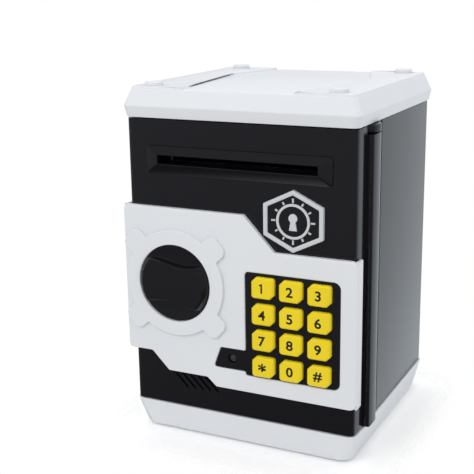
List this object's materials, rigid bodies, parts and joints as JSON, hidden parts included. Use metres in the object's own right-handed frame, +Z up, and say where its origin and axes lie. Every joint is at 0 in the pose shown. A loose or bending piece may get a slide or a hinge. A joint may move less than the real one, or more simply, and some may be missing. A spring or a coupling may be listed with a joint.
{
  "type": "toy cash machine savings bank",
  "caption": "Toy savings bank shaped like a small safe: hinged door with keypad, round lock knob, note slot and feed rollers, on a white base with a battery pocket.",
  "frame": {"origin": "on the ground under the middle of the bank, between its four feet", "axes": "+Z up, -Y out of the door's front, +X to the right of someone facing the door; the door hinge is at +X"},
  "size_m": [0.1317, 0.1283, 0.19],
  "materials": {
    "white_shell": "satin moulded ABS",
    "black_shell": "semi-gloss moulded ABS",
    "key_yellow": "satin with black printed signs",
    "badge_silver": "silver paint on plastic, dark field",
    "rubber": "matt",
    "grey_plastic": "matt moulded",
    "steel": "plated",
    "lamp_lens": "clear diffusing lens",
    "circuit_board": "green solder mask",
    "cell_sleeve": "printed sleeve, plain"
  },
  "bodies": {
    "housing": {"base": "white_shell", "base_screw_front_left": "steel", "base_screw_front_right": "steel", "base_screw_rear_left": "steel", "base_screw_rear_right": "steel", "battery_cell_left": "cell_sleeve", "battery_cell_middle": "cell_sleeve", "battery_cell_right": "cell_sleeve", "battery_contact_front": "steel", "battery_contact_rear": "steel", "battery_cover": "white_shell", "battery_cover_screw": "steel", "body_shell": "black_shell", "bottom_plate": "white_shell", "foot_front_left": "rubber", "foot_front_right": "rubber", "foot_rear_left": "rubber", "foot_rear_right": "rubber", "hinge_pin_upper": "steel", "top_cap": "white_shell", "top_pad_front_left": "white_shell", "top_pad_front_right": "white_shell", "top_pad_rear_left": "white_shell", "top_pad_rear_right": "white_shell"},
    "door": {"door_shell": "black_shell", "door_back_cover": "black_shell", "front_panel": "white_shell", "slot_bezel": "black_shell", "badge": "badge_silver", "keypad_frame": "black_shell", "status_led": "lamp_lens", "keypad_mat": "rubber", "keypad_board": "circuit_board", "speaker": "grey_plastic", "feed_motor": "steel", "roller_bracket": "grey_plastic", "lock_solenoid": "grey_plastic", "cover_screw_high_left": "steel", "cover_screw_high_right": "steel", "cover_screw_low_left": "steel", "cover_screw_low_right": "steel"},
    "knob": {"knob": "black_shell", "lock_cam": "grey_plastic", "knob_latch": "steel"},
    "plunger": {"lock_plunger": "steel"},
    "feed_roller": {"feed_roller": "rubber"},
    "idler_roller": {"idler_roller": "rubber"},
    "motor_pinion": {"motor_pinion": "grey_plastic"},
    "key_1": {"key_1": "key_yellow"},
    "key_2": {"key_2": "key_yellow"},
    "key_3": {"key_3": "key_yellow"},
    "key_4": {"key_4": "key_yellow"},
    "key_5": {"key_5": "key_yellow"},
    "key_6": {"key_6": "key_yellow"},
    "key_7": {"key_7": "key_yellow"},
    "key_8": {"key_8": "key_yellow"},
    "key_9": {"key_9": "key_yellow"},
    "key_star": {"key_star": "key_yellow"},
    "key_0": {"key_0": "key_yellow"},
    "key_hash": {"key_hash": "key_yellow"}
  },
  "joints": [
    {"name": "door_hinge", "type": "hinge", "parent": "housing", "child": "door", "pos_m": [0.058, -0.035, 0], "axis": [0, 0, 1], "range_deg": [0, 100]},
    {"name": "knob_turn", "type": "hinge", "parent": "door", "child": "knob", "pos_m": [-0.0352, -0.058, 0.0868], "axis": [0, 1, 0], "range_deg": [0, 90]},
    {"name": "lock_plunger_slide", "type": "slide", "parent": "door", "child": "plunger", "axis": [-1, 0, 0], "range_m": [0, 0.003], "stiffness_N_per_m": 100},
    {"name": "feed_roller_turn", "type": "hinge", "parent": "door", "child": "feed_roller", "pos_m": [0, -0.032, 0.1456], "axis": [1, 0, 0], "continuous": true},
    {"name": "idler_roller_turn", "type": "hinge", "parent": "door", "child": "idler_roller", "pos_m": [0, -0.032, 0.1572], "axis": [1, 0, 0], "continuous": true},
    {"name": "motor_pinion_turn", "type": "hinge", "parent": "door", "child": "motor_pinion", "pos_m": [0.0425, -0.032, 0.1335], "axis": [1, 0, 0], "continuous": true},
    {"name": "key_1_press", "type": "slide", "parent": "door", "child": "key_1", "axis": [0, 1, 0], "range_m": [0, 0.0015], "stiffness_N_per_m": 300},
    {"name": "key_2_press", "type": "slide", "parent": "door", "child": "key_2", "axis": [0, 1, 0], "range_m": [0, 0.0015], "stiffness_N_per_m": 300},
    {"name": "key_3_press", "type": "slide", "parent": "door", "child": "key_3", "axis": [0, 1, 0], "range_m": [0, 0.0015], "stiffness_N_per_m": 300},
    {"name": "key_4_press", "type": "slide", "parent": "door", "child": "key_4", "axis": [0, 1, 0], "range_m": [0, 0.0015], "stiffness_N_per_m": 300},
    {"name": "key_5_press", "type": "slide", "parent": "door", "child": "key_5", "axis": [0, 1, 0], "range_m": [0, 0.0015], "stiffness_N_per_m": 300},
    {"name": "key_6_press", "type": "slide", "parent": "door", "child": "key_6", "axis": [0, 1, 0], "range_m": [0, 0.0015], "stiffness_N_per_m": 300},
    {"name": "key_7_press", "type": "slide", "parent": "door", "child": "key_7", "axis": [0, 1, 0], "range_m": [0, 0.0015], "stiffness_N_per_m": 300},
    {"name": "key_8_press", "type": "slide", "parent": "door", "child": "key_8", "axis": [0, 1, 0], "range_m": [0, 0.0015], "stiffness_N_per_m": 300},
    {"name": "key_9_press", "type": "slide", "parent": "door", "child": "key_9", "axis": [0, 1, 0], "range_m": [0, 0.0015], "stiffness_N_per_m": 300},
    {"name": "key_star_press", "type": "slide", "parent": "door", "child": "key_star", "axis": [0, 1, 0], "range_m": [0, 0.0015], "stiffness_N_per_m": 300},
    {"name": "key_0_press", "type": "slide", "parent": "door", "child": "key_0", "axis": [0, 1, 0], "range_m": [0, 0.0015], "stiffness_N_per_m": 300},
    {"name": "key_hash_press", "type": "slide", "parent": "door", "child": "key_hash", "axis": [0, 1, 0], "range_m": [0, 0.0015], "stiffness_N_per_m": 300}
  ],
  "couplings": [
    {"joint": "idler_roller_turn", "follows": "feed_roller_turn", "ratio": -1},
    {"joint": "motor_pinion_turn", "follows": "feed_roller_turn", "ratio": -2}
  ]
}
